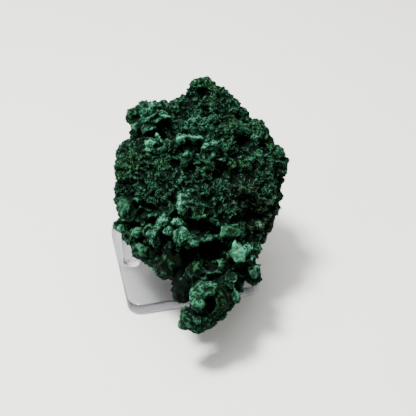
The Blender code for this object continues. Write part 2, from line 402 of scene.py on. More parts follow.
# What stands out of the broad face: its name, the spot where the camera sees it, its half-widths
# across, into and up the face, its turn in the face, the share of its depth that stands out, the
# share of the crust it carries, and how pale it is: 0 is the stone's own green, 1 is mint, more
# is nearly white and less is nearly black. A spot is in pixels across and down the camera's view,
# which is VIEW_SIDE wide and high; lengths are in millimetres and turns in degrees.
VIEW_SIDE = 416
FEATURES = (
    # The shoulder at the upper left, with its folds, and the ledge under it.
    ("shoulder_dome", (155, 107), (3.0, 3.0, 2.2), 0, 0.5, 0.4, 0.8),
    ("shoulder_fold_left", (152, 118), (3.6, 2.6, 1.0), 37, 0.8, 0.3, 0.95),
    ("shoulder_fold_right", (166, 118), (2.8, 2.4, 0.8), -10, 0.9, 0.3, 0.9),
    ("shoulder_face", (155, 121), (2.6, 2.4, 1.6), 0, 0.6, 0.35, 0.8),
    ("shoulder_web", (151, 129), (3.0, 2.6, 1.8), 10, 0.5, 0.4, 0.65),
    ("corner_knob", (133, 114), (2.8, 3.0, 2.8), 0, 0.5, 0.6, 0.2),
    ("corner_block", (136, 127), (2.2, 2.4, 2.4), 0, 0.6, 0.2, 0.2),
    ("ledge_block", (151, 143), (2.2, 2.6, 1.6), 15, 0.9, 0.3, 1.0),
    ("ledge_fin", (161, 140), (3.0, 2.6, 0.9), -52, 0.9, 0.25, 0.85),
    ("ledge_low", (150, 150), (1.8, 1.8, 0.8), 0, 0.9, 0.3, 0.75),
    # The mint crystals over the black hollow, and the brow that frames it.
    ("mint_block", (181, 141), (2.3, 2.8, 1.5), -10, 1.0, 0.3, 1.0),
    ("mint_top", (180, 135), (1.3, 1.8, 0.9), 0, 1.0, 0.3, 0.9),
    ("mint_bridge", (186, 137), (1.6, 2.0, 0.9), 0, 1.0, 0.2, 1.0),
    ("mint_brow", (196, 138), (2.8, 2.2, 0.7), -8, 1.0, 0.4, 0.75),
    ("brow_left", (187, 154), (2.0, 2.0, 0.7), 25, 0.9, 0.3, 0.9),
    ("brow_spark", (200, 149), (0.8, 1.6, 0.8), 0, 0.9, 0.2, 1.0),
    ("brow_right", (208, 147), (3.8, 2.8, 1.0), 20, 0.9, 0.4, 0.65),
    ("brow_face", (206, 157), (3.6, 2.5, 2.4), 0, 0.4, 0.5, 0.2),
    ("crest_band", (201, 121), (4.4, 2.4, 1.4), 3, 0.4, 0.7, 0.4),
    ("small_flake", (222, 160), (1.8, 2.0, 0.8), -3, 0.9, 0.2, 1.0),
    # The knob in the middle, with curled layers round its rim.
    ("central_knob", (192, 207), (5.0, 4.5, 4.4), 0, 0.5, 0.6, 0.15),
    ("knob_rim_left", (180, 206), (0.9, 2.8, 3.2), 0, 0.95, 0.25, 0.9),
    ("knob_crown", (184, 196), (2.6, 2.4, 1.5), 15, 0.7, 0.4, 0.7),
    ("knob_rim_low", (198, 217), (3.4, 2.4, 0.8), 12, 0.8, 0.4, 0.5),
    # The fans and bright tips along the left.
    ("left_bulb", (127, 209), (3.4, 4.0, 4.4), 0, 0.8, 0.15, 0.4),
    ("left_bulb_fin", (137, 212), (3.0, 2.6, 0.8), 55, 0.9, 0.25, 0.85),
    ("left_bulb_top", (136, 199), (1.6, 2.0, 1.0), 0, 0.8, 0.4, 0.7),
    ("foot_tip", (122, 228), (1.6, 2.0, 1.2), 0, 0.7, 0.4, 0.6),
    ("row_left", (145, 217), (1.8, 2.2, 1.1), 0, 0.7, 0.5, 0.5),
    ("row_middle", (153, 215), (2.4, 2.4, 1.2), 10, 0.8, 0.5, 0.65),
    ("row_bright", (165, 222), (2.0, 2.2, 1.1), -8, 1.0, 0.45, 0.85),
    ("row_right", (176, 222), (1.8, 2.2, 1.0), -10, 1.0, 0.45, 0.85),
    ("tooth", (140, 232), (2.8, 2.6, 1.6), 10, 0.9, 0.45, 0.7),
    ("tooth_crescent", (151, 233), (1.8, 1.8, 0.6), 20, 0.9, 0.3, 0.8),
    ("fan_band", (157, 232), (1.4, 3.0, 3.4), -28, 0.9, 0.45, 0.65),
    ("fan_inner", (169, 231), (2.4, 2.4, 2.2), 0, 0.7, 0.5, 0.35),
    ("tooth_low", (156, 243), (2.2, 2.6, 2.2), 0, 0.8, 0.45, 0.4),
    ("grey_bump", (171, 244), (1.8, 2.2, 1.8), 0, 0.7, 0.4, 0.15),
    ("foot_face", (140, 252), (3.2, 3.0, 3.0), 0, 0.5, 0.5, 0.25),
    ("foot_bump", (151, 263), (1.8, 2.6, 1.6), 0, 0.3, 0.4, 0.1),
    # The lobes under the front: near-black nodules, a pale lump, a slab and the white patch.
    ("front_nodule", (172, 264), (5.6, 5.8, 5.8), 0, 0.25, 0.03, -0.4),
    ("front_nodule_low", (183, 291), (4.2, 4.6, 4.8), 10, 0.15, 0.08, -0.4),
    ("pale_lump", (181, 238), (2.2, 3.6, 3.3), 0, 0.9, 0.4, 0.65),
    ("pale_lump_right", (192, 241), (2.6, 2.8, 1.8), -10, 0.7, 0.4, 0.45),
    ("slab", (229, 232), (4.4, 3.6, 2.6), 5, 0.9, 0.08, 0.2),
    ("slab_edge", (229, 226), (3.6, 2.0, 0.7), 12, 1.3, 0.15, 0.35),
    ("pillar", (228, 256), (1.4, 2.8, 3.0), 0, 0.7, 0.15, 0.15),
    ("white_patch", (239, 252), (3.5, 3.6, 3.0), 0, 1.3, 0.15, 1.4),
    ("white_fin_left", (234, 245), (1.1, 2.6, 2.0), -12, 1.4, 0.1, 1.4),
    ("white_fin_middle", (239, 246), (1.0, 2.6, 1.9), 6, 1.4, 0.1, 1.4),
    ("white_fin_right", (245, 250), (1.2, 2.6, 1.5), 30, 1.4, 0.1, 1.4),
    ("white_patch_right", (246, 249), (1.7, 2.8, 2.3), -25, 1.2, 0.2, 1.2),
    ("white_low", (250, 259), (2.4, 2.6, 1.3), 20, 0.8, 0.3, 0.8),
    ("grey_lump", (196, 272), (3.6, 4.0, 4.1), 0, 0.9, 0.06, -0.2),
    ("green_chip", (208, 272), (2.0, 2.2, 0.9), -20, 0.8, 0.25, 0.55),
    # The beard and the nose that hang lowest.
    ("beard_edge_knob", (251, 271), (3.0, 3.6, 3.2), 0, 0.4, 0.4, 0.1),
    ("beard_ring", (230, 282), (3.6, 3.4, 3.2), 0, 0.5, 0.4, 0.35),
    ("beard_knob", (220, 300), (3.6, 4.0, 4.3), 0, 0.8, 0.08, 0.0),
    ("beard_side", (237, 295), (1.8, 3.0, 3.0), 0, 0.6, 0.3, 0.45),
    ("nose_fan_top", (205, 288), (4.4, 3.4, 2.6), 14, 1.0, 0.3, 0.6),
    ("nose_fan_low", (198, 303), (3.2, 3.6, 3.4), 0, 0.9, 0.3, 0.5),
    ("nose_flake", (203, 301), (2.4, 2.2, 0.9), -35, 1.2, 0.3, 0.85),
    ("nose_body", (203, 319), (5.6, 4.5, 4.4), 0, 0.3, 0.4, 0.15),
    ("nose_tooth", (186, 320), (2.0, 3.2, 3.1), 15, 0.6, 0.15, 0.3),
)
# These are angular, broken blocks; the others are rounded and folded.
ANGULAR = (
    "shoulder_fold_left", "shoulder_fold_right", "corner_block", "ledge_block", "ledge_fin",
    "mint_block", "mint_top", "mint_bridge", "brow_left", "brow_spark", "small_flake",
    "left_bulb_fin", "row_bright", "row_right", "tooth", "slab", "slab_edge", "pillar",
    "white_patch", "white_fin_left", "white_fin_middle", "white_fin_right",
    "white_patch_right", "white_low", "green_chip", "nose_flake", "nose_tooth",
)
# Hollows sunk into the crust: name, spot, half-widths, turn and depth.
HOLLOWS = (
    ("under_web", (154, 134), (3.4, 3.4, 1.2), 10, 2.4),
    ("under_ledge", (158, 147), (2.0, 3.0, 0.9), -8, 1.8),
    ("mint_hole", (195, 147), (2.6, 4.8, 2.1), 0, 3.6),
    ("mint_gap", (183, 149), (1.8, 3.0, 1.2), -20, 2.2),
    ("crest_valley", (187, 112), (2.6, 4.0, 3.2), 0, 2.6),
    ("valley", (173, 126), (4.6, 3.4, 2.6), 0, 2.2),
    ("valley_foot", (167, 135), (3.4, 3.0, 2.0), 0, 1.8),
    ("flake_hole", (224, 167), (2.4, 4.0, 1.5), 0, 2.8),
    ("slope_hole", (243, 141), (3.2, 4.8, 2.6), -15, 3.2),
    ("slope_hole_low", (262, 143), (1.8, 3.0, 1.2), -30, 2.0),
    ("crown_hollow", (202, 93), (2.8, 3.4, 1.7), 0, 2.2),
    ("crown_hollow_low", (197, 102), (3.6, 3.0, 1.6), 0, 2.0),
    ("knob_hollow", (203, 229), (5.4, 5.0, 2.4), -6, 3.6),
    ("row_hollow", (177, 215), (1.8, 3.6, 1.6), 0, 2.4),
    ("row_hollow_left", (151, 206), (2.4, 3.0, 1.3), 0, 2.0),
    ("brow_hollow", (209, 247), (5.8, 5.4, 2.6), -4, 3.6),
    ("brow_hollow_low", (213, 256), (4.2, 4.0, 1.6), 0, 2.6),
    ("beard_gap", (211, 266), (2.8, 3.6, 1.8), 0, 2.6),
    ("fan_gap", (212, 303), (1.2, 3.6, 2.9), -10, 2.6),
    ("right_hollow", (244, 236), (3.0, 3.4, 2.6), 0, 2.6),
    ("left_hollow", (136, 225), (2.8, 3.0, 1.3), 0, 2.0),
    ("foot_hollow", (155, 254), (2.8, 3.0, 1.4), 0, 2.0),
    ("mid_hollow", (172, 200), (2.0, 3.0, 1.3), 0, 1.8),
    ("edge_hollow", (242, 274), (2.2, 3.0, 2.2), 0, 2.0),
    ("beard_notch", (243, 286), (4.0, 6.0, 3.4), 0, 2.6),
    ("left_notch", (127, 152), (2.8, 3.4, 2.4), 0, 1.8),
    ("spur_gap", (122, 171), (2.2, 3.0, 0.9), 0, 1.8),
    ("spur_gap_low", (122, 183), (2.2, 3.0, 0.9), 0, 1.8),
)
# Patches where the crust itself is paler: name, spot, half-widths, turn and strength.
PALE_PLACES = (
    ("shoulder", (153, 117), (7.0, 6.0, 5.0), 0, 0.75),
    ("ledge", (156, 143), (5.0, 4.0, 3.0), 0, 0.5),
    ("mint", (187, 140), (4.0, 4.0, 3.0), 0, 0.5),
    ("crest", (201, 128), (6.0, 4.0, 4.0), 0, 0.3),
    ("middle_rim", (183, 201), (4.0, 4.0, 5.0), 0, 0.4),
    ("left_row", (154, 219), (8.0, 5.0, 4.0), 0, 0.35),
    ("front_row", (177, 234), (7.0, 5.0, 5.0), 0, 0.35),
    ("right_white", (244, 254), (4.5, 4.0, 4.5), 0, 0.55),
    ("nose_fan", (201, 295), (5.0, 4.5, 5.5), 0, 0.35),
)
# Brownish fibres on the lower right: name, spot, half-widths, turn and strength.
OLIVE_PLACES = (
    ("olive_slope", (243, 194), (6.0, 6.0, 6.0), 0, 0.4),
    ("olive_bulge", (266, 218), (8.0, 8.0, 8.0), 0, 0.45),
)
# Where the crust gives way to rounded heads: name, spot, half-widths, turn and strength.
ROUNDED_PLACES = (
    ("beard_and_nose", (215, 298), (18.0, 11.0, 14.0), 0, 1.0),
    ("left_fans", (145, 234), (9.0, 10.0, 11.0), 0, 0.9),
    ("front_lumps", (190, 239), (9.0, 7.0, 6.0), 0, 0.9),
    ("right_edge", (262, 238), (8.0, 12.0, 10.0), 0, 0.6),
)
# How far a feature, a hollow or a patch of colour fades past its own edge, as a share of it.
FADE = 0.3
# The crust's own pattern, in millimetres: how broad its heads, crags and crumbs are, how far
# each stands, and how much slow noise bends them out of line.
HEAD_SIZE = 7.0
HEAD_HEIGHT = 2.4
CRAG_SIZE = 5.0
CRAG_HEIGHT = 1.8
CRUMB_SIZE = 1.5
CRUMB_HEIGHT = 0.8
BEND_SIZE = 6.0
BEND_REACH = 2.4
CRINKLE_SIZE = 1.5
CRINKLE_REACH = 0.6
# The crags' own noise, and what each pattern reads in its pits and on its crests.
CRAG_NOISE = {"Detail": 3.0, "Roughness": 0.55, "Lacunarity": 2.1, "Offset": 0.9, "Gain": 2.0}
HEAD_RANGE = (0.8, 0.15)
CRAG_RANGE = (0.2, 1.6)
CRUMB_RANGE = (0.75, 0.1)
# The crust's crests are ridges as much as crumbs.
CRAG_SHARE = 0.55
CRUMB_SHARE = 0.45
# The middle of a pattern that runs from 0 to 1.
MIDDLE = 0.5
# In the rounded places the heads stand this much taller, and this much of the crust is gone.
ROUNDED_HEADS = 0.5
ROUNDED_CRUST_LOSS = 0.6
ROUNDED_DIMMING = 0.12
# How much brighter or darker than the crust a feature is, by how pale it is.
FEATURE_LIFT = 0.28
FEATURE_MIDDLE = 0.75
PALE_LIFT = 0.12
# An angular block: how many corners it has, how far each is jolted and how far out it stands,
# as shares of its half-widths.
ANGULAR_CORNERS = 14
CORNER_JOLT = 0.35
CORNER_REACH = 1.15
# A rounded feature's folds: how many lie across it, how deep they are as a share of it, and the
# dimension, lacunarity, octaves, offset and gain of their noise, which starts anywhere in a span.
FOLDS_ACROSS = 1.7
FOLD_DEPTH = 0.5
FOLD_NOISE = (1.0, 2.0, 2, 1.0, 2.0)
FOLD_SPAN = 50
BALL_SUBDIVISIONS = 4


def facing(turn):
    """How something that lies in the broad face is turned."""
    lean, side = math.radians(FACE_LEAN), math.radians(FACE_TURN)
    roll = Matrix.Rotation(-math.radians(turn), 3, "Y")
    return Matrix.Rotation(side, 3, "Z") @ Matrix.Rotation(lean, 3, "X") @ roll


def seen_at(spot, depth=0.0):
    """The point of the stone that the camera sees at a spot, or that deep under it, in mm."""
    middle = VIEW_SIDE / 2
    ahead = VIEW_SIDE * camera.data.lens / camera.data.sensor_width
    sight = Vector((spot[0] - middle, middle - spot[1], -ahead)).normalized()
    sight.rotate(camera.rotation_euler)
    found, place, _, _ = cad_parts["malachite"].ray_cast(camera.location, sight)
    if not found:
        raise ValueError(f"the camera sees nothing of the stone at {spot}")
    return place / MM + facing(0) @ Vector((0, depth, 0))


def laid(rows):
    """The rows with each spot turned into the point of the stone that is seen there."""
    return [(name, seen_at(spot), *rest) for name, spot, *rest in rows]


def add_feature(bm, name, centre, half_widths, turn):
    """Add an ellipsoid, or an angular block if its name is in ANGULAR, to the stone's blank."""
    stretch = Matrix.Diagonal((*(Vector(half_widths) * MM), 1.0))
    place = Matrix.Translation(Vector(centre) * MM) @ facing(turn).to_4x4() @ stretch
    luck = random.Random(name)
    if name not in ANGULAR:
        # Rounded, with a few sharp folds that the noise sinks and raises about its middle.
        ball = bmesh.ops.create_icosphere(bm, subdivisions=BALL_SUBDIVISIONS, radius=1.0)["verts"]
        start = Vector([luck.uniform(0, FOLD_SPAN) for _ in range(3)])
        for vert in ball:
            fold = noise.ridged_multi_fractal(vert.co * FOLDS_ACROSS + start, *FOLD_NOISE)
            vert.co = place @ (vert.co * (1 - FOLD_DEPTH * (MIDDLE - fold / 2)))
        return
    # Corners spread evenly over a ball in a spiral, then jolted, and the block that holds them.
    corners = []
    for i in range(ANGULAR_CORNERS):
        height = 1 - 2 * (i + 0.5) / ANGULAR_CORNERS
        turned = i * math.pi * (3 - math.sqrt(5))
        around = math.sqrt(1 - height * height)
        corner = Vector((around * math.cos(turned), around * math.sin(turned), height))
        jolt = Vector([luck.uniform(-CORNER_JOLT, CORNER_JOLT) for _ in range(3)])
        corners.append(bm.verts.new(place @ ((corner + jolt).normalized() * CORNER_REACH)))
    bmesh.ops.convex_hull(bm, input=corners)


def drop_bubbles(mesh):
    """Delete every skin but the largest: the others are bubbles shut inside the stone."""
    bm = bmesh.new()
    bm.from_mesh(mesh)
    unseen = set(bm.verts)
    skins = []
    while unseen:
        skin, edge = [], [unseen.pop()]
        while edge:
            vert = edge.pop()
            skin.append(vert)
            beside = {link.other_vert(vert) for link in vert.link_edges} & unseen
            unseen -= beside
            edge.extend(beside)
        skins.append(skin)
    skins.sort(key=len)
    bmesh.ops.delete(bm, geom=[vert for skin in skins[:-1] for vert in skin], context="VERTS")
    bm.to_mesh(mesh)
    bm.free()


def stone_blank(features):
    """The stone's rough shape fused with what stands out of it, as one skin."""
    bm = bmesh.new()
    bm.from_mesh(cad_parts["malachite"].data)
    bmesh.ops.remove_doubles(bm, verts=bm.verts, dist=MERGE_DISTANCE)
    for name, centre, half_widths, turn, _, _ in features:
        add_feature(bm, name, centre, half_widths, turn)
    mesh = bpy.data.meshes.new("stone_blank")
    bm.to_mesh(mesh)
    bm.free()
    blank = bpy.data.objects.new("stone_blank", mesh)
    bpy.context.scene.collection.objects.link(blank)
    fuse = blank.modifiers.new("Fuse", "REMESH")
    fuse.mode = "VOXEL"
    fuse.voxel_size = STONE_VOXEL
    ease = blank.modifiers.new("Ease", "SMOOTH")
    ease.factor = EASE_FACTOR
    ease.iterations = EASE_PASSES
    bake_modifiers(blank)
    drop_bubbles(blank.data)
    return blank


def weighted(tree, start, *terms):
    """A start value, and each further value times its weight added to it."""
    total = start
    for value, weight in terms:
        total = add(
            tree, "ShaderNodeMath", {0: value, 1: weight, 2: total}, operation="MULTIPLY_ADD"
        ).outputs[0]
    return total


def bent(tree, place, size, reach):
    """The place pushed about by slow noise; size and reach are in millimetres."""
    drift = add(tree, "ShaderNodeTexNoise", {"Vector": place, "Scale": 1 / (size * MM)})
    centred = add(
        tree,
        "ShaderNodeVectorMath",
        {0: drift.outputs["Color"], 1: (MIDDLE,) * 3},
        operation="SUBTRACT",
    )
    return add(
        tree,
        "ShaderNodeVectorMath",
        {0: centred.outputs[0], 1: (2 * reach * MM,) * 3, 2: place},
        operation="MULTIPLY_ADD",
    ).outputs[0]


def crust_pattern(tree, place):
    """The crust's heads, crags and crumbs at a place, each from 0 in the pits to 1 on the crests.

    The same nodes shape the mesh and colour it, so that the colour follows the shape: the crust's
    pits are painted darker as shade and its crests lighter as highlights.
    """
    folded = bent(tree, place, BEND_SIZE, BEND_REACH)
    crinkled = bent(tree, folded, CRINKLE_SIZE, CRINKLE_REACH)
    head_cells = add(
        tree, "ShaderNodeTexVoronoi", {"Vector": folded, "Scale": 1 / (HEAD_SIZE * MM)}
    )
    ridges = add(
        tree,
        "ShaderNodeTexNoise",
        {"Vector": crinkled, "Scale": 1 / (CRAG_SIZE * MM), **CRAG_NOISE},
        noise_type="RIDGED_MULTIFRACTAL",
    )
    crumb_cells = add(
        tree, "ShaderNodeTexVoronoi", {"Vector": crinkled, "Scale": 1 / (CRUMB_SIZE * MM)}
    )
    return [
        add(
            tree,
            "ShaderNodeMapRange",
            {"Value": value, "From Min": pit, "From Max": crest},
            interpolation_type="SMOOTHSTEP",
        ).outputs["Result"]
        for value, (pit, crest) in (
            (head_cells.outputs["Distance"], HEAD_RANGE),
            (ridges.outputs["Fac"], CRAG_RANGE),
            (crumb_cells.outputs["Distance"], CRUMB_RANGE),
        )
    ]


def open_tree(name, sizes, whole_numbers=()):
    """A tree with named inputs for its mesh, sizes and material, and what it is given."""
    tree = bpy.data.node_groups.new(name, "GeometryNodeTree")
    for labels, kind in (
        (("Geometry",), "Geometry"), (sizes, "Float"), (whole_numbers, "Int"),
        (("Material",), "Material"),
    ):
        for label in labels:
            tree.interface.new_socket(label, in_out="INPUT", socket_type="NodeSocket" + kind)
    tree.interface.new_socket("Geometry", in_out="OUTPUT", socket_type="NodeSocketGeometry")
    return tree, add(tree, "NodeGroupInput").outputs


def close_tree(tree, geometry, material):
    """End a tree in real geometry that has the material."""
    real = add(tree, "GeometryNodeRealizeInstances", {"Geometry": geometry})
    coated = add(
        tree,
        "GeometryNodeSetMaterial",
        {"Geometry": real.outputs["Geometry"], "Material": material},
    )
    add(tree, "NodeGroupOutput", {"Geometry": coated.outputs["Geometry"]})


def crust_tree():
    """Raise the crust along the calm skin's normals, and keep the calm place for the colours."""
    tree, given = open_tree(
        "crust_relief", ("Head Height", "Crag Height", "Crumb Height", "Millimetre")
    )
    place = add(tree, "GeometryNodeInputPosition").outputs[0]
    normal = add(tree, "GeometryNodeInputNormal").outputs[0]
    kept = given["Geometry"]
    for label, value in (("calm_place", place), ("calm_normal", normal)):
        kept = add(
            tree,
            "GeometryNodeStoreNamedAttribute",
            {"Geometry": kept, "Name": label, "Value": value},
            data_type="FLOAT_VECTOR",
        ).outputs["Geometry"]
    crust, sink, rounded = [
        add(tree, "GeometryNodeInputNamedAttribute", {"Name": label}).outputs["Attribute"]
        for label in ("crust", "sink", "rounded")
    ]
    heads, crags, crumbs = [
        weighted(tree, -MIDDLE, (height, 1.0)) for height in crust_pattern(tree, place)
    ]
    rough = weighted(
        tree, 0.0, (crags, given["Crag Height"]), (crumbs, given["Crumb Height"])
    )
    round_height = weighted(tree, 0.0, (rounded, given["Head Height"]))
    sunk = weighted(tree, 0.0, (sink, given["Millimetre"]))
    raised = weighted(tree, 0.0, (rough, crust), (heads, round_height), (sunk, -1.0))
    offset = add(
        tree, "ShaderNodeVectorMath", {0: normal, "Scale": raised}, operation="SCALE"
    )
    moved = add(tree, "GeometryNodeSetPosition", {"Geometry": kept, "Offset": offset.outputs[0]})
    close_tree(tree, moved.outputs["Geometry"], given["Material"])
    return tree


def set_inputs(modifier, values):
    """Set a node modifier's inputs by the identifiers of their sockets."""
    ids = {
        item.name: item.identifier
        for item in modifier.node_group.interface.items_tree
        if item.in_out == "INPUT"
    }
    for label, value in values.items():
        modifier[ids[label]] = value


def places(mesh):
    """The mesh's points as rows of x, y and z, in millimetres."""
    flat = np.empty(len(mesh.vertices) * 3)
    mesh.vertices.foreach_get("co", flat)
    return flat.reshape(-1, 3) / MM


def directions(mesh):
    """The mesh's point normals as rows."""
    flat = np.empty(len(mesh.vertices) * 3, np.float32)
    mesh.vertex_normals.foreach_get("vector", flat)
    return flat.reshape(-1, 3).astype(float)


def within(points, centre, half_widths, turn):
    """1 inside an ellipsoid in the broad face, fading to 0 a little past it."""
    across = (points - np.array(centre)) @ np.array(facing(turn))
    away = np.linalg.norm(across / np.array(half_widths), axis=1)
    return np.clip((1 + FADE - away) / FADE, 0, 1)


def smoothed(mesh, points, passes):
    """The points after each has moved to the mean of its neighbours, several times."""
    ends = np.empty(len(mesh.edges) * 2, np.int32)
    mesh.edges.foreach_get("vertices", ends)
    a, b = ends.reshape(-1, 2).T
    count = np.bincount(np.concatenate((a, b)), minlength=len(points))[:, None]
    result = points
    for _ in range(passes):
        total = np.stack(
            [
                np.bincount(a, result[b, k], len(points)) + np.bincount(b, result[a, k], len(points))
                for k in range(3)
            ],
            axis=1,
        )
        result = total / count
    return result


def mark(mesh, name, values):
    """Store one number for each point of the mesh."""
    mesh.attributes.new(name, "FLOAT", "POINT").data.foreach_set(
        "value", values.astype(np.float32)
    )


MALACHITE_SHADOW = "#040906"
MALACHITE_DEEP = "#0E2418"
MALACHITE_BODY = "#1A3828"
MALACHITE_LIGHT = "#294A37"
MALACHITE_GREEN = "#2D5840"
MALACHITE_MINT = "#306049"
MALACHITE_CHALK = "#407E67"
# The colour at each level, on the stone's own green and on its pale places.
GREEN_STOPS = (
    (0.18, MALACHITE_SHADOW), (0.38, MALACHITE_DEEP), (0.6, MALACHITE_BODY),
    (0.8, MALACHITE_LIGHT), (1.0, MALACHITE_GREEN),
)
PALE_STOPS = (
    (0.22, MALACHITE_DEEP), (0.45, MALACHITE_LIGHT), (0.72, MALACHITE_MINT),
    (1.0, MALACHITE_CHALK),
)
# The olive places are turned toward yellow, and duller.
OLIVE_HUE = 0.46
OLIVE_SATURATION = 0.6
# Slow changes over the stone, in millimetres: how light its layers are, and how yellow.
LAYER_SIZE = 7.0
LAYER_STRENGTH = 0.45
WARM_SIZE = 11.0
WARM_RANGE = (0.45, 0.65)
WARM_GREEN = "#FFF8CC"
WARM_STRENGTH = 0.6
# The fibres that fray a pale face. Real ones are too fine to show, so they are drawn 0.7 mm wide
# and about three times as long, over this range of their noise, and the face keeps this share of
# its paleness on them.
FRAY_WIDTH = 0.7
FRAY_SQUASH = 0.3
FRAY_RANGE = (0.38, 0.58)
FRAY_FLOOR = 0.4


# The level it is given holds painted shade in the pits and painted highlights on the crests.
def malachite_colour(tree, level):
    """Malachite's green at a level from 0 in the pits to 1 on the crests.

    Crests in the pale places are mint to chalky, and the olive places are browner.
    """
    pale = add(tree, "ShaderNodeAttribute", attribute_name="pale").outputs["Fac"]
    olive = add(tree, "ShaderNodeAttribute", attribute_name="olive").outputs["Fac"]
    place = add(tree, "ShaderNodeAttribute", attribute_name="calm_place").outputs["Vector"]
    layers, warmth = [
        add(tree, "ShaderNodeTexNoise", {"Vector": place, "Scale": 1 / (size * MM)}).outputs["Fac"]
        for size in (LAYER_SIZE, WARM_SIZE)
    ]
    level = weighted(tree, -MIDDLE * LAYER_STRENGTH, (level, 1.0), (layers, LAYER_STRENGTH))
    # The pale faces are frayed by darker fibres that run up and down them.
    upright = add(
        tree, "ShaderNodeVectorMath", {0: place, 1: (1.0, 1.0, FRAY_SQUASH)}, operation="MULTIPLY"
    )
    fray = add(
        tree,
        "ShaderNodeTexNoise",
        {"Vector": upright.outputs[0], "Scale": 1 / (FRAY_WIDTH * MM), "Detail": 2.0},
    ).outputs["Fac"]
    frayed = add(
        tree,
        "ShaderNodeMapRange",
        {"Value": fray, "From Min": FRAY_RANGE[0], "From Max": FRAY_RANGE[1],
         "To Min": FRAY_FLOOR, "To Max": 1.0},
        interpolation_type="SMOOTHSTEP",
    ).outputs["Result"]
    paleness = weighted(tree, 0.0, (pale, frayed))
    tones = []
    for stops in (GREEN_STOPS, PALE_STOPS):
        ramp = add(tree, "ShaderNodeValToRGB", {"Fac": level})
        elements = ramp.color_ramp.elements
        elements[0].position = stops[0][0]
        elements[1].position = stops[-1][0]
        for stop, _ in stops[1:-1]:
            elements.new(stop)
        for element, (_, colour) in zip(elements, stops):
            element.color = linear(colour)
        tones.append(ramp.outputs["Color"])
    green, minted = tones
    yellowed = add(
        tree,
        "ShaderNodeMapRange",
        {"Value": warmth, "From Min": WARM_RANGE[0], "From Max": WARM_RANGE[1],
         "To Max": WARM_STRENGTH},
        interpolation_type="SMOOTHSTEP",
    ).outputs["Result"]
    warm = add(
        tree,
        "ShaderNodeMix",
        {"Factor": yellowed, "A": green, "B": linear(WARM_GREEN)},
        data_type="RGBA",
        blend_type="MULTIPLY",
    )
    lit = add(
        tree,
        "ShaderNodeMix",
        {"Factor": paleness, "A": warm.outputs["Result"], "B": minted},
        data_type="RGBA",
    )
    return add(
        tree,
        "ShaderNodeHueSaturation",
        {"Fac": olive, "Color": lit.outputs["Result"], "Hue": OLIVE_HUE,
         "Saturation": OLIVE_SATURATION},
    ).outputs["Color"]


# Velvety malachite: fine fibres end at its surface, so it takes a soft, dim light and hardly
# shines. Its crests and edges are painted paler as highlights, and its pits and hollows darker as
# shade. Its real fibres and grain are too fine to show, so both are drawn about half a millimetre
# to a millimetre wide.
MALACHITE_IOR = 1.6
VELVET_SHINE = 0.006
VELVET_ROUGHNESS = 0.5
GRAIN_SIZE = 0.9
GRAIN_ROUGHNESS = 0.7
FIBRE_WIDTH = 0.55
FIBRE_SQUASH = 0.25
# Where the stone's level starts, and how much each thing adds to it: how far a point stands out
# of what is close to it (edge), near it (relief) and far from it (swell), which paint highlights on
# edges and crests and shade in pits and hollows, and the finer patterns.
VELVET_START = -1.58
PAINTED_RELIEF_SHADE = 0.5
PAINTED_SWELL_SHADE = 0.35
PAINTED_CRUST_SHADE = 0.4
VELVET_GRAIN = 0.7
PAINTED_EDGE_HIGHLIGHT = 0.85
VELVET_FIBRES = 0.9
BUMP_STRENGTH = 0.9
BUMP_DEPTH = 0.3 * MM
BUMP_FIBRES = 0.6
velvet, tree = new_material("botryoidal_malachite")
calm_place = add(tree, "ShaderNodeAttribute", attribute_name="calm_place").outputs["Vector"]
_, crags, crumbs = crust_pattern(tree, calm_place)
crust, relief, swell, edge, lift = [
    add(tree, "ShaderNodeAttribute", attribute_name=label).outputs["Fac"]
    for label in ("crust", "relief", "swell", "edge", "lift")
]
pattern = weighted(tree, 0.0, (crags, CRAG_SHARE), (crumbs, CRUMB_SHARE))
# The crust's pattern is painted into the colour: darker as shade in its pits, lighter as highlights
# on its crests.
crusted = weighted(tree, 0.0, (pattern, crust))
grain = add(
    tree,
    "ShaderNodeTexNoise",
    {"Vector": calm_place, "Scale": 1 / (GRAIN_SIZE * MM), "Detail": 3.0,
     "Roughness": GRAIN_ROUGHNESS},
).outputs["Fac"]
# The fibres are a quarter as wide as they are long, run up and down the stone and wander.
drawn_out = add(
    tree,
    "ShaderNodeVectorMath",
    {0: bent(tree, calm_place, BEND_SIZE, BEND_REACH), 1: (1.0, 1.0, FIBRE_SQUASH)},
    operation="MULTIPLY",
)
fibres = add(
    tree,
    "ShaderNodeTexNoise",
    {"Vector": drawn_out.outputs[0], "Scale": 1 / (FIBRE_WIDTH * MM), "Detail": 2.0},
).outputs["Fac"]
# The level holds painted shade in the pits and hollows and painted highlights on the crests and
# edges, besides the grain and fibres of the stone itself.
level = weighted(
    tree, VELVET_START, (relief, PAINTED_RELIEF_SHADE), (swell, PAINTED_SWELL_SHADE), (crusted, PAINTED_CRUST_SHADE),
    (grain, VELVET_GRAIN), (edge, PAINTED_EDGE_HIGHLIGHT), (fibres, VELVET_FIBRES), (lift, 1.0),
)
bump = add(
    tree,
    "ShaderNodeBump",
    {"Strength": BUMP_STRENGTH, "Distance": BUMP_DEPTH,
     "Height": weighted(tree, grain, (crumbs, crust), (fibres, BUMP_FIBRES))},
)
surface(
    tree,
    add(
        tree,
        "ShaderNodeBsdfPrincipled",
        {
            "Base Color": malachite_colour(tree, level),
            "Roughness": VELVET_ROUGHNESS,
            "IOR": MALACHITE_IOR,
            "Specular IOR Level": VELVET_SHINE,
            "Normal": bump.outputs["Normal"],
        },
    ),
)

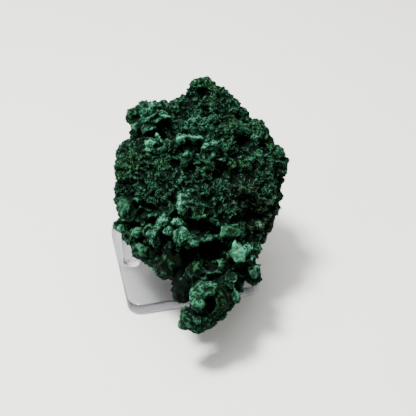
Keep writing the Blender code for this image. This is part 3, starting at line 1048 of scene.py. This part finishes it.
features = [
    (name, seen_at(spot, half_widths[1] * (1 - 2 * stand)), half_widths, turn, share, strength)
    for name, spot, half_widths, turn, stand, share, strength in FEATURES
]
stone = stone_blank(features)
calm = places(stone.data)
crust_share = np.ones(len(calm))
paleness = np.zeros(len(calm))
lift = np.zeros(len(calm))
for _, centre, half_widths, turn, strength in laid(PALE_PLACES):
    inside = within(calm, centre, half_widths, turn)
    paleness = np.maximum(paleness, strength * inside)
    lift = np.maximum(lift, PALE_LIFT * inside)
for _, centre, half_widths, turn, share, strength in features:
    inside = within(calm, centre, half_widths, turn)
    crust_share += (share - crust_share) * inside
    paleness += (strength - paleness) * inside
    lift += (FEATURE_LIFT * (strength - FEATURE_MIDDLE) - lift) * inside
heads_share = crust_share.copy()
for _, centre, half_widths, turn, strength in laid(ROUNDED_PLACES):
    inside = strength * within(calm, centre, half_widths, turn)
    crust_share = np.minimum(crust_share, 1 - ROUNDED_CRUST_LOSS * inside)
    heads_share = np.maximum(heads_share, heads_share * (1 + ROUNDED_HEADS * inside))
    lift -= ROUNDED_DIMMING * inside
sinking = np.zeros(len(calm))
for _, centre, half_widths, turn, depth in laid(HOLLOWS):
    sinking = np.maximum(sinking, depth * within(calm, centre, half_widths, turn))
browning = np.zeros(len(calm))
for _, centre, half_widths, turn, strength in laid(OLIVE_PLACES):
    browning = np.maximum(browning, strength * within(calm, centre, half_widths, turn))
for label, values in (
    ("crust", crust_share), ("lift", lift), ("rounded", heads_share), ("pale", paleness),
    ("sink", sinking), ("olive", browning),
):
    mark(stone.data, label, values)
raising = stone.modifiers.new("Crust", "NODES")
raising.node_group = crust_tree()
set_inputs(
    raising,
    {
        "Head Height": HEAD_HEIGHT * MM,
        "Crag Height": CRAG_HEIGHT * MM,
        "Crumb Height": CRUMB_HEIGHT * MM,
        "Millimetre": MM,
        "Material": velvet,
    },
)
bake_modifiers(stone)

# How far each point stands out of what is close, near and far, from which the colours paint
# shade in pits and hollows and highlights on crests and edges: how many passes of smoothing give
# each of those, and how many millimetres of standing out run from 0 to 1.
CLOSE_PASSES = 4
NEAR_PASSES = 25
FAR_PASSES = 200
CLOSE_SPAN = 0.5
NEAR_SPAN = 2.0
FAR_SPAN = 3.0
carved = places(stone.data)
outward = directions(stone.data)
close_mean = smoothed(stone.data, carved, CLOSE_PASSES)
near_mean = smoothed(stone.data, close_mean, NEAR_PASSES - CLOSE_PASSES)
far_mean = smoothed(stone.data, near_mean, FAR_PASSES - NEAR_PASSES)
for label, raised, mean, span in (
    ("edge", carved, close_mean, CLOSE_SPAN),
    ("relief", carved, near_mean, NEAR_SPAN),
    ("swell", near_mean, far_mean, FAR_SPAN),
):
    stands = ((raised - mean) * outward).sum(axis=1)
    mark(stone.data, label, np.clip(MIDDLE + stands / span, 0, 1))

stone.name = "malachite_stone"
stone.data.name = "malachite_stone"
stone.data.materials.clear()
stone.data.materials.append(velvet)
stone.data.shade_smooth()
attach(stone, "root")
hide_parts("malachite")

# ---------------------------------------------------------------------------------------------
# The crystals. Malachite grew over the whole crust as curled blades, broken chips and needles
# that stand on its crests. Most real ones are too fine to show, so they are drawn from a third
# of a millimetre to two millimetres long.
# ---------------------------------------------------------------------------------------------
# A blade's points along its length, how much of its thickness it loses to its top, and how far it
# bows and its ends droop; then how far a chip's corners are jolted, the seed that jolts them, and
# how near a tip its middle counts as. All but the first and the seed are shares of its size.
BLADE_STEPS = 4
BLADE_THINNING = 0.7
BLADE_BOW = 1.6
BLADE_DROOP = 1.8
CHIP_JOLT = 0.16
CHIP_SEED = 5
CHIP_TIP = 0.45


def unit_height(tree):
    """The height of each point of a unit crystal."""
    here = add(tree, "GeometryNodeInputPosition").outputs[0]
    return add(tree, "ShaderNodeSeparateXYZ", {"Vector": here}).outputs["Z"]


def blade(tree):
    """A curled blade, a unit long and tall, and how near its tip each point is."""
    box = add(
        tree, "GeometryNodeMeshCube", {"Size": (1.0, 1.0, 1.0), "Vertices X": BLADE_STEPS}
    ).outputs["Mesh"]
    here = add(tree, "GeometryNodeInputPosition").outputs[0]
    axis = add(tree, "ShaderNodeSeparateXYZ", {"Vector": here}).outputs
    height = weighted(tree, MIDDLE, (axis["Z"], 1.0))
    along_squared = weighted(tree, 0.0, (axis["X"], axis["X"]))
    # Thick at its foot and thin at its top, bowed along its length and lower at its ends.
    thinning = weighted(tree, 1.0, (height, -BLADE_THINNING))
    across = weighted(tree, 0.0, (axis["Y"], thinning), (along_squared, BLADE_BOW))
    end_drop = weighted(tree, 0.0, (along_squared, height))
    droop = weighted(tree, height, (end_drop, -BLADE_DROOP))
    shape = add(tree, "ShaderNodeCombineXYZ", {"X": axis["X"], "Y": across, "Z": droop})
    curled = add(tree, "GeometryNodeSetPosition", {"Geometry": box, "Position": shape.outputs[0]})
    return curled.outputs["Geometry"], unit_height(tree)


def chip(tree):
    """An angular eight-sided chip, a unit across, and how near its tip each point is."""
    ball = add(
        tree, "GeometryNodeMeshUVSphere", {"Segments": 4, "Rings": 2, "Radius": 0.5}
    ).outputs["Mesh"]
    jolt = add(
        tree,
        "FunctionNodeRandomValue",
        {"Min": (-CHIP_JOLT,) * 3, "Max": (CHIP_JOLT,) * 3, "Seed": CHIP_SEED},
        data_type="FLOAT_VECTOR",
    )
    broken = add(
        tree, "GeometryNodeSetPosition", {"Geometry": ball, "Offset": jolt.outputs["Value"]}
    )
    return broken.outputs["Geometry"], weighted(tree, CHIP_TIP, (unit_height(tree), 1.0))


def needle(tree):
    """A closed three-sided needle, a unit tall, and how near its tip each point is."""
    cone = add(
        tree,
        "GeometryNodeMeshCone",
        {"Vertices": 3, "Radius Top": 0.0, "Radius Bottom": 0.5, "Depth": 1.0},
        fill_type="NGON",
    )
    return cone.outputs["Mesh"], unit_height(tree)


# The tufts are this many millimetres broad. The relief over which the crystals set in, the share
# of them in the pits and on a smooth face, how far each strays from its ridge's line, and the
# seed of the first of its own random draws.
TUFT_SIZE = 3.0
CREST_RANGE = (0.42, 0.58)
PIT_SHARE = 0.04
SMOOTH_SHARE = 0.25
STRAY = 0.3
FIRST_LUCK_SEED = 3


def crystal_tree(name, shape):
    """Scatter one shape of crystal over the crust's crests, leaning together in tufts."""
    tree, given = open_tree(
        name,
        ("Per Square Metre", "Shortest", "Tallest", "Thinnest", "Thickest", "Narrowest",
         "Broadest", "Lean", "Scatter", "Darkest", "Brightest"),
        whole_numbers=("Seed",),
    )
    relief, crust = [
        add(tree, "GeometryNodeInputNamedAttribute", {"Name": label}).outputs["Attribute"]
        for label in ("relief", "crust")
    ]
    calm_normal = add(
        tree, "GeometryNodeInputNamedAttribute", {"Name": "calm_normal"}, data_type="FLOAT_VECTOR"
    ).outputs["Attribute"]

    # They stand on the crests, leave the pits dark, and thin out fast where the crust is smooth.
    on_crests = add(
        tree,
        "ShaderNodeMapRange",
        {"Value": relief, "From Min": CREST_RANGE[0], "From Max": CREST_RANGE[1],
         "To Min": PIT_SHARE, "To Max": 1.0},
        interpolation_type="SMOOTHSTEP",
    ).outputs["Result"]
    crusty = weighted(
        tree, 0.0, (crust, weighted(tree, SMOOTH_SHARE, (crust, 1 - SMOOTH_SHARE)))
    )
    share = weighted(tree, 0.0, (crusty, on_crests))
    density = weighted(tree, 0.0, (share, given["Per Square Metre"]))
    spots = add(
        tree,
        "GeometryNodeDistributePointsOnFaces",
        {"Mesh": given["Geometry"], "Density": density, "Seed": given["Seed"]},
    )
    place = add(tree, "GeometryNodeInputPosition").outputs[0]
    tufts = add(tree, "ShaderNodeTexNoise", {"Vector": place, "Scale": 1 / (TUFT_SIZE * MM)})
    tuft = add(
        tree,
        "ShaderNodeVectorMath",
        {0: tufts.outputs["Color"], 1: (MIDDLE,) * 3},
        operation="SUBTRACT",
    )
    lean = add(
        tree, "ShaderNodeVectorMath", {0: tuft.outputs[0], "Scale": given["Lean"]},
        operation="SCALE",
    )
    stray = add(
        tree,
        "FunctionNodeRandomValue",
        {"Min": (-1.0, -1.0, -1.0), "Max": (1.0, 1.0, 1.0), "Seed": given["Seed"]},
        data_type="FLOAT_VECTOR",
    ).outputs["Value"]
    scattered = add(
        tree, "ShaderNodeVectorMath", {0: stray, "Scale": given["Scatter"]}, operation="SCALE"
    )
    leaning = add(
        tree, "ShaderNodeVectorMath", {0: calm_normal, 1: lean.outputs[0]}, operation="ADD"
    )
    upright = add(
        tree,
        "ShaderNodeVectorMath",
        {0: leaning.outputs[0], 1: scattered.outputs[0]},
        operation="ADD",
    )
    # A slope and the calm skin under it cross along the ridge, and the crystals line up so.
    along = add(
        tree,
        "ShaderNodeVectorMath",
        {0: spots.outputs["Normal"], 1: calm_normal},
        operation="CROSS_PRODUCT",
    )
    astray = add(
        tree,
        "ShaderNodeVectorMath",
        {0: stray, 1: (STRAY,) * 3, 2: along.outputs[0]},
        operation="MULTIPLY_ADD",
    )
    turned = add(
        tree,
        "FunctionNodeAxesToRotation",
        {"Primary Axis": upright.outputs[0], "Secondary Axis": astray.outputs[0]},
        primary_axis="Z",
        secondary_axis="X",
    )
    luck, width, depth, tone = [
        add(
            tree,
            "FunctionNodeRandomValue",
            {"Min": low, "Max": high, "Seed": seed},
            data_type="FLOAT",
        ).outputs["Value"]
        for seed, (low, high) in enumerate(
            ((0.0, 1.0), (given["Narrowest"], given["Broadest"]),
             (given["Thinnest"], given["Thickest"]), (given["Darkest"], given["Brightest"])),
            start=FIRST_LUCK_SEED,
        )
    ]
    # Squared, so that most crystals are short.
    height = add(
        tree,
        "ShaderNodeMapRange",
        {"Value": weighted(tree, 0.0, (luck, luck)), "To Min": given["Shortest"],
         "To Max": given["Tallest"]},
    )
    size = add(
        tree,
        "ShaderNodeCombineXYZ",
        {"X": width, "Y": depth, "Z": height.outputs["Result"]},
    )
    body, tip = shape(tree)
    tipped = add(
        tree,
        "GeometryNodeStoreNamedAttribute",
        {"Geometry": body, "Name": "tip", "Value": tip},
        data_type="FLOAT",
    )
    crystals = add(
        tree,
        "GeometryNodeInstanceOnPoints",
        {
            "Points": spots.outputs["Points"],
            "Instance": tipped.outputs["Geometry"],
            "Rotation": turned.outputs["Rotation"],
            "Scale": size.outputs[0],
        },
    )
    toned = add(
        tree,
        "GeometryNodeStoreNamedAttribute",
        {"Geometry": crystals.outputs["Instances"], "Name": "tone", "Value": tone},
        data_type="FLOAT",
        domain="INSTANCE",
    )
    close_tree(tree, toned.outputs["Geometry"], given["Material"])
    return tree


# Crystal tips and edges are thin and let light through, so each one is painted dark at its foot as
# shade and bright toward its tip as a highlight. The crystals in the crust's pits are painted darker
# as shade, so the crust sparkles in points between black pits.
CRYSTAL_ROUGHNESS = 0.45
LIT_TIP_RANGE = (0.35, 0.95)
# Where a crystal's level starts, and how much each thing adds to it: relief and swell paint shade in
# pits and light on crests, and the lit tip is a painted highlight.
CRYSTAL_START = -0.63
CRYSTAL_PAINTED_RELIEF_SHADE = 0.45
CRYSTAL_PAINTED_SWELL_SHADE = 0.3
CRYSTAL_TONE = 0.25
CRYSTAL_PAINTED_TIP_HIGHLIGHT = 0.95
crystal_green, tree = new_material("crystalline_malachite")
tone, tip, relief, swell, lift = [
    add(tree, "ShaderNodeAttribute", attribute_name=label).outputs["Fac"]
    for label in ("tone", "tip", "relief", "swell", "lift")
]
edge = add(
    tree,
    "ShaderNodeMapRange",
    {"Value": tip, "From Min": LIT_TIP_RANGE[0], "From Max": LIT_TIP_RANGE[1]},
    interpolation_type="SMOOTHSTEP",
).outputs["Result"]
painted_tip_highlight = weighted(tree, 0.0, (edge, tone))
level = weighted(
    tree, CRYSTAL_START, (relief, CRYSTAL_PAINTED_RELIEF_SHADE), (swell, CRYSTAL_PAINTED_SWELL_SHADE), (tone, CRYSTAL_TONE),
    (painted_tip_highlight, CRYSTAL_PAINTED_TIP_HIGHLIGHT), (lift, 1.0),
)
surface(
    tree,
    add(
        tree,
        "ShaderNodeBsdfPrincipled",
        {
            "Base Color": malachite_colour(tree, level),
            "Roughness": CRYSTAL_ROUGHNESS,
            "IOR": MALACHITE_IOR,
            "Specular IOR Level": VELVET_SHINE,
        },
    ),
)

# Each set's shape, and the inputs of its tree: how many there are, the least and most of each
# size, how far they lean together and apart, and the least and most of their tone.
CRYSTAL_SETS = {
    "curled_blades": (blade, {
        "Per Square Metre": 0.45e6, "Shortest": 0.35 * MM, "Tallest": 0.85 * MM,
        "Thinnest": 0.22 * MM, "Thickest": 0.36 * MM, "Narrowest": 0.7 * MM,
        "Broadest": 1.9 * MM, "Lean": 1.2, "Scatter": 0.4, "Darkest": 0.4, "Brightest": 1.5,
        "Seed": 11}),
    "coarse_chips": (chip, {
        "Per Square Metre": 1.2e6, "Shortest": 0.45 * MM, "Tallest": 0.95 * MM,
        "Thinnest": 0.4 * MM, "Thickest": 0.8 * MM, "Narrowest": 0.6 * MM,
        "Broadest": 1.2 * MM, "Lean": 1.5, "Scatter": 1.2, "Darkest": -0.7, "Brightest": 1.3,
        "Seed": 12}),
    "needles": (needle, {
        "Per Square Metre": 0.4e6, "Shortest": 0.6 * MM, "Tallest": 1.5 * MM,
        "Thinnest": 0.16 * MM, "Thickest": 0.3 * MM, "Narrowest": 0.16 * MM,
        "Broadest": 0.3 * MM, "Lean": 4.0, "Scatter": 1.6, "Darkest": 0.2, "Brightest": 1.1,
        "Seed": 13}),
}
FINE_CHIPS = {
    "Per Square Metre": 1.8e6, "Shortest": 0.35 * MM, "Tallest": 0.8 * MM,
    "Thinnest": 0.3 * MM, "Thickest": 0.6 * MM, "Narrowest": 0.4 * MM,
    "Broadest": 0.95 * MM, "Lean": 1.5, "Scatter": 1.2, "Darkest": -0.9, "Brightest": 1.5,
}
# The finest grains lie in three layers, so that no piece is too heavy.
for layer, seed in (("lower", 14), ("middle", 15), ("upper", 16)):
    CRYSTAL_SETS["fine_chips_" + layer] = (chip, {**FINE_CHIPS, "Seed": seed})


def grow_crystals(name, shape, sizes):
    """Grow one set of crystals on the stone, as a plain mesh."""
    grown = put(name, stone.data.copy(), crystal_green)
    scatter = grown.modifiers.new("Scatter", "NODES")
    scatter.node_group = crystal_tree(name, shape)
    set_inputs(scatter, {**sizes, "Material": crystal_green})
    bake_modifiers(grown)
    grown.data.materials.clear()
    grown.data.materials.append(crystal_green)
    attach(grown, "root")
    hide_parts("malachite")


for set_name, (shape, sizes) in CRYSTAL_SETS.items():
    grow_crystals(set_name, shape, sizes)
